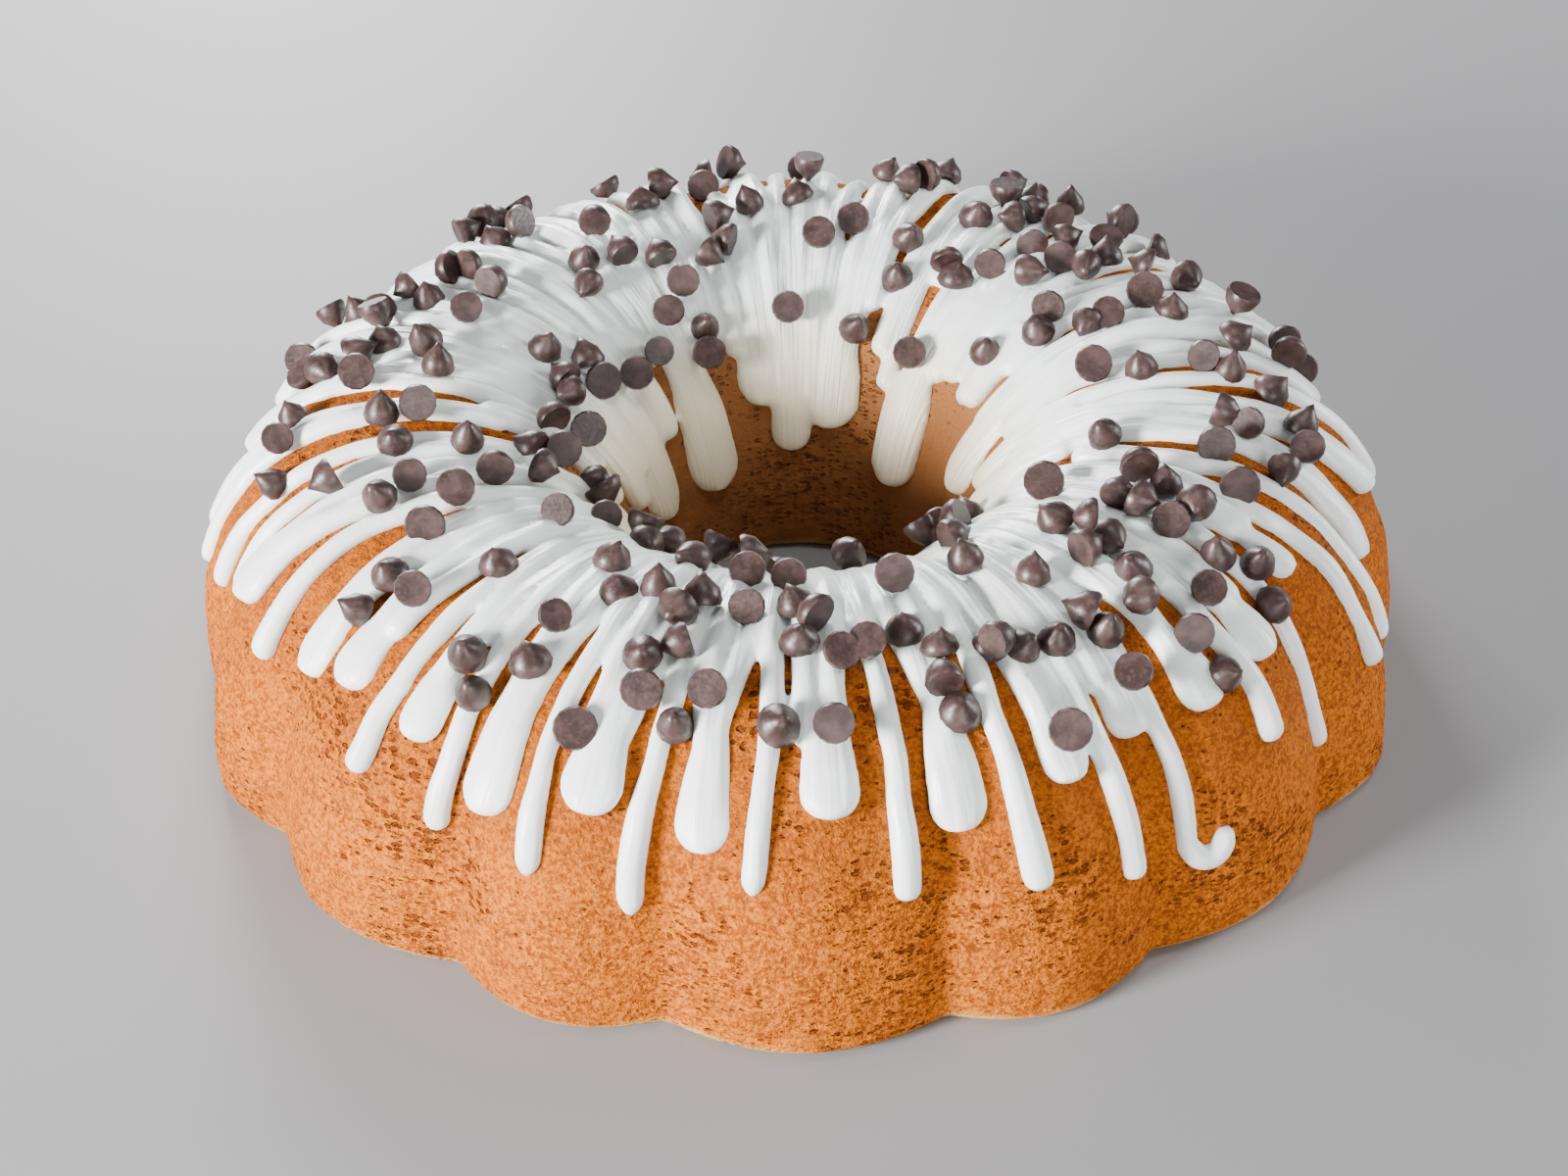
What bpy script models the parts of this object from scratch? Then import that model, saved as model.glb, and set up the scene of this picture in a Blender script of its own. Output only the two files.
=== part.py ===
"""A ring cake baked in a fluted tin, iced with thick piped strands and scattered with chocolate chips.

The sponge, the strands and the chips are one solid. Units are metres, +Z is up, and the origin is
the middle of the flat underside, on the axis of the hole.
"""

import math
import random

import bmesh
import bpy
from mathutils import Vector

# The sponge, in metres: a ring whose section is two quarter ovals that meet at the crown.
OUTER_RADIUS = 0.125
CROWN_RADIUS = 0.077
HOLE_RADIUS = 0.030
SPONGE_HEIGHT = 0.0585
OUTER_SQUARENESS = 2.3
INNER_SQUARENESS = 2.2
BASE_EDGE = 0.0025

# The flutes: a wide and a narrow one by turns, eight of each.
FLUTE_PAIRS = 8
WIDE_FLUTE = math.radians(24.9)
FLUTE_PAIR = 2 * math.pi / FLUTE_PAIRS
NARROW_FLUTE = FLUTE_PAIR - WIDE_FLUTE
FLUTE_DEPTH = 0.0061
FLUTE_REACH = 0.15
FLUTE_FADE = 0.8
STEPS_A_FLUTE = 4
RINGS = 13
HALVINGS = 30

# The icing strands. A drip is its bearing in degrees, the height of its tip and its half width.
THIN = 0.0026
BROAD = 0.0050
DRIPS = (
    (186.5, 0.025, THIN), (192.5, 0.028, THIN), (200, 0.031, BROAD),
    (208, 0.037, THIN), (214.5, 0.040, BROAD), (221, 0.045, BROAD), (227, 0.036, THIN),
    (231, 0.044, BROAD), (235, 0.030, THIN), (240.5, 0.038, BROAD), (246, 0.031, THIN),
    (250.5, 0.042, BROAD), (255, 0.026, THIN), (261, 0.039, BROAD), (266, 0.033, THIN),
    (272.5, 0.044, BROAD), (280, 0.030, THIN), (284.5, 0.040, BROAD), (290, 0.029, THIN),
    (295, 0.044, BROAD), (299, 0.023, THIN), (303.5, 0.046, BROAD), (306, 0.021, THIN),
    (311.5, 0.044, BROAD), (316, 0.035, THIN), (321, 0.045, BROAD), (327, 0.024, THIN),
    (331, 0.049, BROAD), (338, 0.022, THIN), (348, 0.026, THIN), (356, 0.039, BROAD),
)
BACK_DRIPS = 31
BACK_START = 1.5
BACK_END = 183
BACK_TIPS = (0.022, 0.046)
HOLE_DRIPS = (
    (17.5, 0.028, BROAD), (50, 0.020, BROAD), (76.5, 0.029, BROAD), (92, 0.024, BROAD),
    (122.5, 0.018, BROAD), (149.5, 0.019, BROAD), (165, 0.026, BROAD), (196, 0.024, BROAD),
    (226, 0.021, BROAD), (259, 0.026, BROAD), (291, 0.020, BROAD), (322, 0.025, BROAD),
    (347.5, 0.033, BROAD),
)
STRAND_STATIONS = (0.0, 0.36, 0.66, 0.92, 1.0)
STRAND_SWELLS = (1.0, 1.1, 1.0, 1.1, 0.55)
STRAND_START = 0.060
HOLE_STRAND_START = 0.050
STRAND_SLANT = 2.5
ICING_RISE = 0.0029

# Round the inner rim the strands run together into one band.
BAND_INSIDE = 0.038
BAND_OUTSIDE = 0.066
BAND_STATIONS = 6
BAND_SINK = -0.002
BAND_STEPS = 64

# The chocolate chips: a round drop with a flat foot and a tip.
CHIPS = 124
CHIP_OUTLINE = ((0.0, 0.0), (0.0033, 0.0), (0.0036, 0.0022), (0.0, 0.0063))
CHIP_SIDES = 6
CHIP_CLEAR = 0.0066
CHIP_FROM = 0.046
CHIP_TO = 0.108
CHIP_CLUSTER = 0.42
CHIP_SPREAD = 0.007
CHIP_SINK = 0.0013
CHIP_UPRIGHT = 0.7
SEED = 11


def flute_fullness(bearing):
    """0 in the groove between two flutes, 1 in the middle of a flute."""
    across = (bearing + WIDE_FLUTE / 2) % FLUTE_PAIR
    if across < WIDE_FLUTE:
        share = across / WIDE_FLUTE
    else:
        share = (across - WIDE_FLUTE) / NARROW_FLUTE
    return abs(math.sin(math.pi * share))


def sponge_point(bearing, turn, rise=0.0):
    """A point of the sponge. turn runs from 0 at the outer foot over the crown to pi at the hole's foot."""
    outward = math.cos(turn)
    upward = math.sin(turn)
    if outward >= 0:
        half_width = OUTER_RADIUS - CROWN_RADIUS + rise
        squareness = OUTER_SQUARENESS
    else:
        half_width = CROWN_RADIUS - HOLE_RADIUS + rise
        squareness = INNER_SQUARENESS
    height = SPONGE_HEIGHT + rise
    reach = (abs(outward / half_width) ** squareness + abs(upward / height) ** squareness) ** (-1 / squareness)
    fade = min(max(outward + FLUTE_REACH, 0.0), 1.0) ** FLUTE_FADE
    radius = CROWN_RADIUS + reach * outward - FLUTE_DEPTH * fade * (1 - flute_fullness(bearing))
    return Vector((radius * math.cos(bearing), radius * math.sin(bearing), reach * upward))


def outward_normal(bearing, turn):
    nudge = 0.01
    along = sponge_point(bearing, turn + nudge) - sponge_point(bearing, turn - nudge)
    round_the_ring = Vector((-math.sin(bearing), math.cos(bearing), 0))
    return round_the_ring.cross(along).normalized()


def turn_at_radius(radius, outer):
    """The turn where the sponge's upper surface has this radius, off the flutes' depth."""
    low, high = (0.0, math.pi / 2) if outer else (math.pi / 2, math.pi)
    for _ in range(HALVINGS):
        middle = (low + high) / 2
        point = sponge_point(0.0, middle)
        if math.hypot(point.x, point.y) > radius:
            low = middle
        else:
            high = middle
    return low


def turn_at_height(height, outer):
    low, high = (0.0, math.pi / 2) if outer else (math.pi, math.pi / 2)
    for _ in range(HALVINGS):
        middle = (low + high) / 2
        if sponge_point(0.0, middle).z < height:
            low = middle
        else:
            high = middle
    return low


def new_collection(name):
    made = bpy.data.collections.new(name)
    bpy.context.scene.collection.children.link(made)
    return made


def move_to(obj, collection):
    for owner in list(obj.users_collection):
        owner.objects.unlink(obj)
    collection.objects.link(obj)


def crust_material():
    made = bpy.data.materials.new("baked_sponge")
    made.use_nodes = True
    shader = made.node_tree.nodes["Principled BSDF"]
    shader.inputs["Base Color"].default_value = (0.60, 0.27, 0.075, 1)
    shader.inputs["Roughness"].default_value = 0.75
    shader.inputs["Metallic"].default_value = 0.0
    return made


def sponge_ring(collection):
    """The fluted ring: a torus whose rings are moved onto the sponge's section."""
    steps = 2 * FLUTE_PAIRS * STEPS_A_FLUTE
    rings = RINGS + 3
    bpy.ops.mesh.primitive_torus_add(major_segments=steps, minor_segments=rings)
    ring = bpy.context.active_object
    ring.name = "bundt_cake"
    edge_turn = turn_at_height(BASE_EDGE, outer=True)
    for index, vertex in enumerate(ring.data.vertices):
        step, station = divmod(index, rings)
        flute, part = divmod(step, STEPS_A_FLUTE)
        width = NARROW_FLUTE if flute % 2 else WIDE_FLUTE
        start = flute // 2 * FLUTE_PAIR - WIDE_FLUTE / 2 + (WIDE_FLUTE if flute % 2 else 0)
        bearing = start + width * part / STEPS_A_FLUTE
        if station <= RINGS:
            turn = edge_turn + (math.pi - 2 * edge_turn) * station / RINGS
            vertex.co = sponge_point(bearing, turn)
            continue
        foot = sponge_point(bearing, math.pi if station == RINGS + 1 else 0.0)
        inset = BASE_EDGE if station == RINGS + 1 else -BASE_EDGE
        away = Vector((math.cos(bearing), math.sin(bearing), 0))
        vertex.co = foot + away * inset
        vertex.co.z = 0
    move_to(ring, collection)
    ring.data.materials.append(crust_material())
    return ring


def icing_band(collection):
    """The closed ring of icing round the inner rim: a lens of a section, sunk a little in the sponge."""
    rings = 2 * BAND_STATIONS
    bpy.ops.mesh.primitive_torus_add(major_segments=BAND_STEPS, minor_segments=rings)
    band = bpy.context.active_object
    band.name = "icing_band"
    first = turn_at_radius(BAND_OUTSIDE, outer=False)
    last = turn_at_radius(BAND_INSIDE, outer=False)
    for index, vertex in enumerate(band.data.vertices):
        step, station = divmod(index, rings)
        share = station / (BAND_STATIONS - 1)
        rise = ICING_RISE * (1 - (2 * share - 1) ** 4)
        if station >= BAND_STATIONS:
            share = (rings - station - 0.5) / BAND_STATIONS
            rise = BAND_SINK
        turn = first + (last - first) * share
        vertex.co = sponge_point(2 * math.pi * step / BAND_STEPS, turn, rise)
    move_to(band, collection)


def strand(name, bearing, slant, start_turn, tip_turn, half_width, collection):
    """One piped strand: a tube half sunk in the sponge, a little fuller near its tip and closed there."""
    curve = bpy.data.curves.new(name, "CURVE")
    curve.dimensions = "3D"
    curve.bevel_depth = 1.0
    curve.bevel_resolution = 1
    curve.use_fill_caps = True
    spline = curve.splines.new("POLY")
    spline.points.add(len(STRAND_STATIONS) - 1)
    for point, share, swell in zip(spline.points, STRAND_STATIONS, STRAND_SWELLS):
        turn = start_turn + (tip_turn - start_turn) * share
        here = bearing + slant * (1 - share)
        radius = (THIN + (half_width - THIN) * share**2) * swell
        centre = sponge_point(here, turn) + outward_normal(here, turn) * (ICING_RISE - radius)
        point.co = (*centre, 1)
        point.radius = radius
    tube = bpy.data.objects.new(name, curve)
    bpy.context.scene.collection.objects.link(tube)
    graph = bpy.context.evaluated_depsgraph_get()
    solid = bpy.data.objects.new(name, bpy.data.meshes.new_from_object(tube.evaluated_get(graph)))
    solid.matrix_world = tube.matrix_world
    shape = bmesh.new()
    shape.from_mesh(solid.data)
    bmesh.ops.remove_doubles(shape, verts=shape.verts, dist=1e-6)
    bmesh.ops.recalc_face_normals(shape, faces=shape.faces)
    shape.to_mesh(solid.data)
    shape.free()
    bpy.data.objects.remove(tube)
    collection.objects.link(solid)


def back_drips(draw):
    """The drips on the side that the front hides: broad and thin by turns, their tips uneven."""
    spacing = (BACK_END - BACK_START) / BACK_DRIPS
    for index in range(BACK_DRIPS):
        bearing = BACK_START + spacing * (index + 0.5) + draw.uniform(-0.8, 0.8)
        yield bearing, draw.uniform(*BACK_TIPS), BROAD if index % 2 else THIN


def ice(drips, collection, draw):
    start = turn_at_radius(STRAND_START, outer=False)
    for index, (bearing, tip, half_width) in enumerate(drips):
        slant = math.radians(draw.uniform(-STRAND_SLANT, STRAND_SLANT))
        name = f"strand_{index:02d}"
        strand(name, math.radians(bearing), slant, start, turn_at_height(tip, True), half_width, collection)
    start = turn_at_radius(HOLE_STRAND_START, outer=False)
    for index, (bearing, tip, half_width) in enumerate(HOLE_DRIPS):
        name = f"hole_strand_{index:02d}"
        strand(name, math.radians(bearing), 0.0, start, turn_at_height(tip, False), half_width, collection)


def chip_mesh():
    """A drop with a flat foot: its outline turned round its own axis."""
    shape = bmesh.new()
    points = [shape.verts.new((across, 0, up)) for across, up in CHIP_OUTLINE]
    lines = [shape.edges.new(pair) for pair in zip(points, points[1:])]
    bmesh.ops.spin(
        shape, geom=[*points, *lines], cent=(0, 0, 0), axis=(0, 0, 1), angle=2 * math.pi,
        steps=CHIP_SIDES, use_merge=True,
    )
    bmesh.ops.remove_doubles(shape, verts=shape.verts, dist=1e-5)
    bmesh.ops.recalc_face_normals(shape, faces=shape.faces)
    mesh = bpy.data.meshes.new("chip")
    shape.to_mesh(mesh)
    shape.free()
    return mesh


def chip_places(drips, draw):
    """Where the chips lie: (bearing, radius) pairs on the band and the strands, with small clusters."""
    places = []
    while len(places) < CHIPS:
        radius = math.sqrt(draw.uniform(CHIP_FROM**2, CHIP_TO**2))
        bearing = math.radians(draw.choice(drips)[0])
        if radius < BAND_OUTSIDE:
            bearing = draw.uniform(0, 2 * math.pi)
        if places and draw.random() < CHIP_CLUSTER:
            near_bearing, near_radius = draw.choice(places)
            radius = min(max(near_radius + draw.uniform(-1, 1) * CHIP_SPREAD, CHIP_FROM), CHIP_TO)
            bearing = near_bearing + draw.uniform(-1, 1) * CHIP_SPREAD / near_radius
        spot = Vector((radius * math.cos(bearing), radius * math.sin(bearing)))
        if all((spot - Vector((r * math.cos(b), r * math.sin(b)))).length > CHIP_CLEAR for b, r in places):
            places.append((bearing, radius))
    return places


def scatter_chips(drips, collection, draw):
    """Turns each chip its own way and sets its lowest corner a little under the icing's surface."""
    mesh = chip_mesh()
    for index, (bearing, radius) in enumerate(chip_places(drips, draw)):
        turn = turn_at_radius(radius, outer=radius > CROWN_RADIUS)
        normal = outward_normal(bearing, turn)
        tilt = Vector((draw.gauss(0, 1), draw.gauss(0, 1), draw.gauss(0, 1)))
        up = (normal * CHIP_UPRIGHT + tilt.normalized()).normalized()
        chip = bpy.data.objects.new(f"chip_{index:03d}", mesh)
        chip.rotation_mode = "QUATERNION"
        chip.rotation_quaternion = up.to_track_quat("Z", "Y")
        corners = [chip.rotation_quaternion @ vertex.co for vertex in mesh.vertices]
        middle = sum(corners, Vector()) / len(corners)
        lift = ICING_RISE - CHIP_SINK - min((corner - middle).dot(normal) for corner in corners)
        chip.location = sponge_point(bearing, turn) + normal * lift - middle
        collection.objects.link(chip)


def keep_largest_shell(obj):
    """Fills the small sealed hollows that the join leaves, and drops any scrap that touches nothing."""
    shape = bmesh.new()
    shape.from_mesh(obj.data)
    waiting = set(shape.verts)
    shells = []
    while waiting:
        shell = {waiting.pop()}
        edge_of_shell = list(shell)
        while edge_of_shell:
            vertex = edge_of_shell.pop()
            for edge in vertex.link_edges:
                other = edge.other_vert(vertex)
                if other not in shell:
                    shell.add(other)
                    edge_of_shell.append(other)
        waiting -= shell
        shells.append(shell)
    shells.sort(key=len)
    for shell in shells[:-1]:
        bmesh.ops.delete(shape, geom=list(shell), context="VERTS")
    shape.to_mesh(obj.data)
    shape.free()


def fuse(ring, toppings):
    """Joins the strands and the chips to the sponge as one solid."""
    bpy.context.view_layer.update()
    union = ring.modifiers.new("fuse_toppings", "BOOLEAN")
    union.operation = "UNION"
    union.operand_type = "COLLECTION"
    union.collection = toppings
    union.solver = "MANIFOLD"
    bpy.context.view_layer.objects.active = ring
    ring.select_set(True)
    bpy.ops.object.modifier_apply(modifier=union.name)
    for piece in list(toppings.objects):
        bpy.data.objects.remove(piece)
    bpy.data.collections.remove(toppings)
    keep_largest_shell(ring)


def build():
    for obj in list(bpy.data.objects):
        bpy.data.objects.remove(obj)
    cake = new_collection("ring_cake")
    toppings = new_collection("toppings")
    ring = sponge_ring(cake)
    draw = random.Random(SEED)
    drips = [*DRIPS, *back_drips(draw)]
    icing_band(toppings)
    ice(drips, toppings, draw)
    scatter_chips(drips, toppings, draw)
    fuse(ring, toppings)
    ring.data.shade_smooth()
    ring.data.set_sharp_from_angle(angle=math.radians(40))


build()
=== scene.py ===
"""The finish of a fluted ring cake: baked sponge, piped icing strands and scattered chocolate chips."""

import math
import random
from dataclasses import dataclass

import bmesh
import bpy
from mathutils import Matrix, Vector, noise
from mathutils.bvhtree import BVHTree


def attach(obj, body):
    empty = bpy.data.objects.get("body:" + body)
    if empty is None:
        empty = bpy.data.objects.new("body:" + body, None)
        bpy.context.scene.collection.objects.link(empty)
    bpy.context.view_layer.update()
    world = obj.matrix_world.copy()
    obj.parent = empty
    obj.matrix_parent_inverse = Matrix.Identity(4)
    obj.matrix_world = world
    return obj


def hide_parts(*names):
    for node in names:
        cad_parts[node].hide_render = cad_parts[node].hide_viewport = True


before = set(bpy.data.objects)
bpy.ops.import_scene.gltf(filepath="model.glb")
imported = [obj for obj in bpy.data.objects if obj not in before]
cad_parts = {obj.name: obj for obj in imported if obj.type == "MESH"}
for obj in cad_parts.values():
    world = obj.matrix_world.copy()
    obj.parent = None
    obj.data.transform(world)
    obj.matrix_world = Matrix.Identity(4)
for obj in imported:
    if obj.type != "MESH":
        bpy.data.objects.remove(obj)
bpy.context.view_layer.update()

BODY = "root"
CAKE = "bundt_cake"
SEED = 5
MERGE = 1e-6
UP = Vector((0, 0, 1))

# The sponge, in metres, with its origin at the middle of the underside.
OUTER_RADIUS = 0.125
CROWN_RADIUS = 0.077
HOLE_RADIUS = 0.030
SPONGE_HEIGHT = 0.0585
OUTER_SQUARENESS = 2.3
INNER_SQUARENESS = 2.2
BASE_EDGE = 0.0025
FLUTE_PAIR = math.radians(45)
WIDE_FLUTE = math.radians(24.9)
FLUTE_DEPTH = 0.0061
FLUTE_REACH = 0.15
FLUTE_FADE = 0.8
SPONGE_STEPS = 448
SPONGE_STATION = 0.0012
BASE_STATIONS = 6

# The crust's unevenness: how many waves to a metre, and how high they are.
SWELL = (38, 0.0007)
LUMPS = (150, 0.00036)
CRUMB = (520, 0.00022)
CRUMB_FLATNESS = 1.8

# A strand of icing. Widths are half widths, and waves are so many to a metre along it.
STRAND = 0.00275
STRAND_SQUASH = 0.98
STRAND_SIDES = 12
STRAND_STEP = 0.0014
TIP_STEP = 0.0004
TIP_SLOWING = 0.22
ICING_RISE = 0.0029
RISE_RANGE = (0.82, 1.20)
SLOW_WANDER = 32
QUICK_WANDER = 105
QUICK_SHARE = 0.3
WIDTH_WAVES = 60
RISE_WAVES = 50
UNEVENNESS = 0.24
HOLE_NARROWING = 0.28
END_STATION = 3
ROUND_END = (1.0, 2.0)
POINTED_END = (1.5, 1.45)
END_WIDTH = 0.03

# A thin drip, and its hook. Pairs of shares say where along it a change of width starts and ends.
LEG = 0.0026
LEG_WANDER = 0.0019
THIN_NECK = 0.0022
THIN_SLANT = 0.0022
THIN_NARROWING = (0.2, 0.6)
THIN_WIDENING = (0.62, 0.93)
THIN_TIP = 0.93
THIN_RIM_RADII = (0.046, 0.058)
HOOK_RADIUS = 0.0033
HOOK_SWEEP = math.radians(215)
HOOK_STATIONS = 12
HOOK_WIDTH = THIN_NECK * 1.1

# A broad drip: two legs that meet in a tongue.
BROAD_FROM = 0.0068
BROAD_SLANT = 0.0018
BROAD_RIM_RADII = (0.039, 0.047)
LEG_SPREAD = 0.0025
LEG_SPREAD_RANGE = (0.9, 1.1)
LEG_MEETING = (0.5, 0.85)
LEG_END = 0.75
DROP_NECK = 0.0029
ROUND_NECK = 0.46
TONGUE_SHOULDER = 0.985
TONGUE_START = 0.55
TONGUE_SLANT = 0.3
TONGUE_TIP = 1.06
TONGUE_WIDENING = (0.05, 0.78)
TONGUE_WANDER = 0.0004
TONGUE_RISE = (0.70, 1.12)
TONGUE_RISING = (0.1, 0.8)

# The drips that show: the bearing in degrees, the height of the tip, the width in metres and the end.
DRIPS = (
    (179.5, 0.030, 0.0055, "round"), (183, 0.026, 0.0055, "round"), (188.5, 0.028, 0.0055, "round"),
    (194, 0.034, 0.0055, "round"), (200.5, 0.041, 0.0104, "round"), (207, 0.037, 0.0056, "round"),
    (214, 0.040, 0.0100, "round"), (221, 0.045, 0.0105, "round"), (226.5, 0.0355, 0.0055, "round"),
    (231, 0.0435, 0.0108, "drop"), (235.5, 0.030, 0.0056, "round"), (240.5, 0.037, 0.0100, "round"),
    (246, 0.031, 0.0058, "point"), (250.5, 0.0425, 0.0108, "round"), (255.2, 0.0255, 0.0058, "point"),
    (261, 0.038, 0.0108, "drop"), (266, 0.033, 0.0056, "point"), (272.5, 0.0445, 0.0110, "round"),
    (279, 0.0295, 0.0060, "round"), (284.5, 0.039, 0.0118, "drop"), (290.2, 0.029, 0.0058, "round"),
    (295, 0.0435, 0.0104, "round"), (299.6, 0.0225, 0.0062, "round"), (303.6, 0.044, 0.0090, "round"),
    (306.2, 0.0235, 0.0048, "hook"), (311.8, 0.0445, 0.0098, "drop"), (317, 0.0345, 0.0060, "round"),
    (321.5, 0.0445, 0.0095, "round"), (327.6, 0.019, 0.0058, "round"), (332.4, 0.049, 0.0080, "round"),
    (336.5, 0.027, 0.0058, "round"), (342, 0.024, 0.0056, "round"), (349, 0.033, 0.0088, "round"),
    (356, 0.039, 0.0074, "round"),
)
BACK_DRIPS = 32
BACK_BEARINGS = (1, 176)
BACK_SHIFT = 0.7
BACK_THIN_TIPS = (0.020, 0.034)
BACK_THIN_WIDTHS = (0.0054, 0.0062)
BACK_BROAD_TIPS = (0.036, 0.046)
BACK_BROAD_WIDTHS = (0.0094, 0.0114)

# The drips in the hole: the bearing in degrees, the height of the tip and the width in metres.
HOLE_DRIPS = (
    (347.5, 0.033, 0.0092), (2, 0.035, 0.0062), (17.5, 0.0285, 0.0102), (31, 0.042, 0.0052),
    (50, 0.0205, 0.0112), (64, 0.0435, 0.0050), (76.5, 0.029, 0.0106), (85, 0.0335, 0.0090),
    (91.5, 0.024, 0.0084), (100, 0.0335, 0.0100), (122.5, 0.0185, 0.0110), (138, 0.033, 0.0062),
    (149.5, 0.019, 0.0106), (157, 0.031, 0.0080), (165, 0.0265, 0.0084), (180, 0.034, 0.0062),
    (196, 0.024, 0.0098), (211, 0.038, 0.0058), (226, 0.021, 0.0104), (243, 0.034, 0.0060),
    (259, 0.026, 0.0100), (276, 0.037, 0.0058), (291, 0.020, 0.0104), (307, 0.033, 0.0064),
    (322, 0.025, 0.0100), (335, 0.039, 0.0058),
)
HOLE_STRAND_START = 0.060
HOLE_START_RANGE = (-0.003, 0.006)
HOLE_WIDENING = (0.22, 0.56)
HOLE_TIP = 1.28
HOLE_WANDER = 0.0014

# How the strands are run together and bedded on the sponge.
VOXEL = 0.00066
SMOOTHINGS = 2
ICING_TRIANGLES = 150000
ICING_BED = 0.0012
BED_STATIONS = 40
BED_STEPS = 192
SPECK_FACES = 200

# The chips that show well lie where the photograph has them, in its frame of 1600 by 1200 pixels.
PHOTO_WIDTH = 1600
PHOTO_HEIGHT = 1200
CHIPS_FOOT_OUT = (
    (475, 313), (387, 317), (310, 366), (364, 379), (425, 410), (283, 447), (575, 457), (600, 437),
    (614, 388), (717, 190), (697, 286), (682, 318), (672, 358), (650, 380), (722, 361), (845, 168),
    (835, 238), (870, 223), (803, 313), (928, 360), (1010, 268), (1075, 210), (1052, 250), (1082, 262),
    (1168, 297), (1130, 320), (1070, 312), (1115, 371), (1227, 362), (1328, 377), (1373, 417), (1276, 432),
    (1335, 456), (1240, 454), (1265, 496), (1065, 490), (1195, 531), (1232, 601), (1218, 645), (1157, 686),
    (418, 484), (465, 497), (434, 535), (422, 600), (571, 521), (564, 628), (587, 743), (618, 526),
    (763, 581), (805, 587), (763, 618), (857, 664), (885, 655), (655, 702), (723, 703), (850, 737),
    (912, 584), (1092, 744),
)
CHIPS_TIP_UP = (
    (502, 244), (436, 301), (391, 345), (432, 344), (447, 367), (558, 352), (389, 416), (298, 424),
    (402, 447), (477, 444), (595, 262), (655, 203), (763, 203), (720, 332), (811, 155), (812, 196),
    (928, 240), (915, 281), (873, 333), (975, 279), (996, 217), (1005, 356), (1128, 258), (1233, 281),
    (1197, 312), (1058, 335), (1163, 372), (1256, 373), (1263, 341), (1300, 396), (1330, 430), (1125, 441),
    (1075, 526), (1190, 490), (1155, 578), (1242, 563), (1285, 572), (1303, 615), (1055, 580), (1130, 640),
    (1253, 688), (1080, 650), (1045, 656), (276, 492), (385, 504), (396, 583), (362, 620), (508, 571),
    (475, 665), (481, 705), (540, 671), (625, 566), (632, 600), (672, 593), (717, 603), (812, 612),
    (815, 650), (655, 665), (688, 738), (797, 739), (922, 640), (958, 655), (980, 724), (1010, 655),
    (983, 566),
)
CHIPS_ON_SIDE = (
    (509, 214), (553, 210), (571, 208), (432, 268), (455, 273), (481, 269), (504, 285), (415, 294),
    (303, 346), (330, 379), (366, 358), (574, 381), (598, 362), (562, 424), (599, 291), (612, 193),
    (606, 222), (668, 181), (770, 174), (733, 219), (739, 243), (725, 259), (672, 256), (633, 253),
    (893, 178), (938, 166), (980, 183), (965, 262), (1040, 191), (1031, 222), (1052, 276), (1090, 241),
    (1108, 272), (1156, 239), (1181, 256), (1216, 272), (1108, 331), (1309, 345), (1251, 420), (1310, 481),
    (1108, 526), (1161, 471), (1142, 500), (1166, 511), (1221, 516), (1135, 549), (1110, 557), (1161, 608),
    (1105, 620), (332, 489), (505, 474), (556, 477), (604, 491), (661, 541), (703, 562), (975, 546),
    (689, 623), (829, 622), (691, 655), (962, 688), (1021, 650), (580, 400), (540, 455),
)

# The chips that the photograph hides are scattered by rule: on the far slope, and down the near inner one.
BACK_CHIPS = 52
BACK_CHIP_BEARINGS = (8, 172)
BACK_CHIP_RADII = (0.086, 0.108)
INNER_CHIPS = 16
INNER_CHIP_BEARINGS = (200, 340)
INNER_CHIP_RADII = (0.039, 0.049)
CAST_HEIGHT = 0.02
ATTITUDES = ("foot", "up", "side", "side")

# A chip: its outline, and how its kinds bend over and are squat.
CHIP_OUTLINE = (
    (0.0, 0.0), (0.0033, 0.0), (0.0036, 0.0008), (0.0030, 0.0029), (0.0012, 0.0047), (0.0, 0.0061),
)
CHIP_KINDS = ((0.0005, 1.0), (0.0012, 0.92), (0.0, 1.08), (0.0008, 0.85))
CHIP_SIZES = (0.93, 1.07)
CHIP_LEANS = {"up": (0, 0.5), "side": (-0.3, 0.35), "foot": (0, 0.35)}
CHIP_MIDDLE = 0.36
CHIP_SEGMENTS = 14
CHIP_SHARP = math.radians(48)

# How a chip settles: the least way between two, how far it sinks in, and how far it feels for ridges.
CHIP_GAP = 0.0054
CHIP_YIELD = 0.5
CHIP_SINK = 0.0007
CHIP_REACH = 0.0021
CHIP_GLANCE = 0.4

# A chip that would land inside this radius, on the wall of the hole, belongs on the near rim.
CHIP_RIM = 0.0385
RIM_DIP = 0.0015
RIM_TRIES = 14

# The colours.
GOLD = (0.44, 0.107, 0.0055, 1)
GOLD_DARK = (0.33, 0.078, 0.005, 1)
GOLD_DEEP = (0.19, 0.042, 0.004, 1)
GOLD_PALE = (0.60, 0.164, 0.008, 1)
# The hole's crust: a darker brown of its own, with painted shade in it.
HOLE_BROWN_AND_SHADE = (0.29, 0.120, 0.044, 1)
PORE_BROWN = (0.11, 0.022, 0.004, 1)
BASE_CRUMB = (0.80, 0.47, 0.17, 1)
ICING_WHITE = (0.82, 0.89, 0.87, 1)
ICING_SHADE = (0.74, 0.79, 0.755, 1)
# Painted warm bounce light for the icing in the hole.
ICING_PAINTED_BOUNCE = (0.88, 0.77, 0.55, 1)
CHOCOLATE = (0.027, 0.013, 0.011, 1)
CHOCOLATE_BLOOM = (0.066, 0.036, 0.034, 1)
CHOCOLATE_DUST = (0.13, 0.086, 0.082, 1)
FLOOR_GREY = (0.24, 0.24, 0.25, 1)
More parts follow.
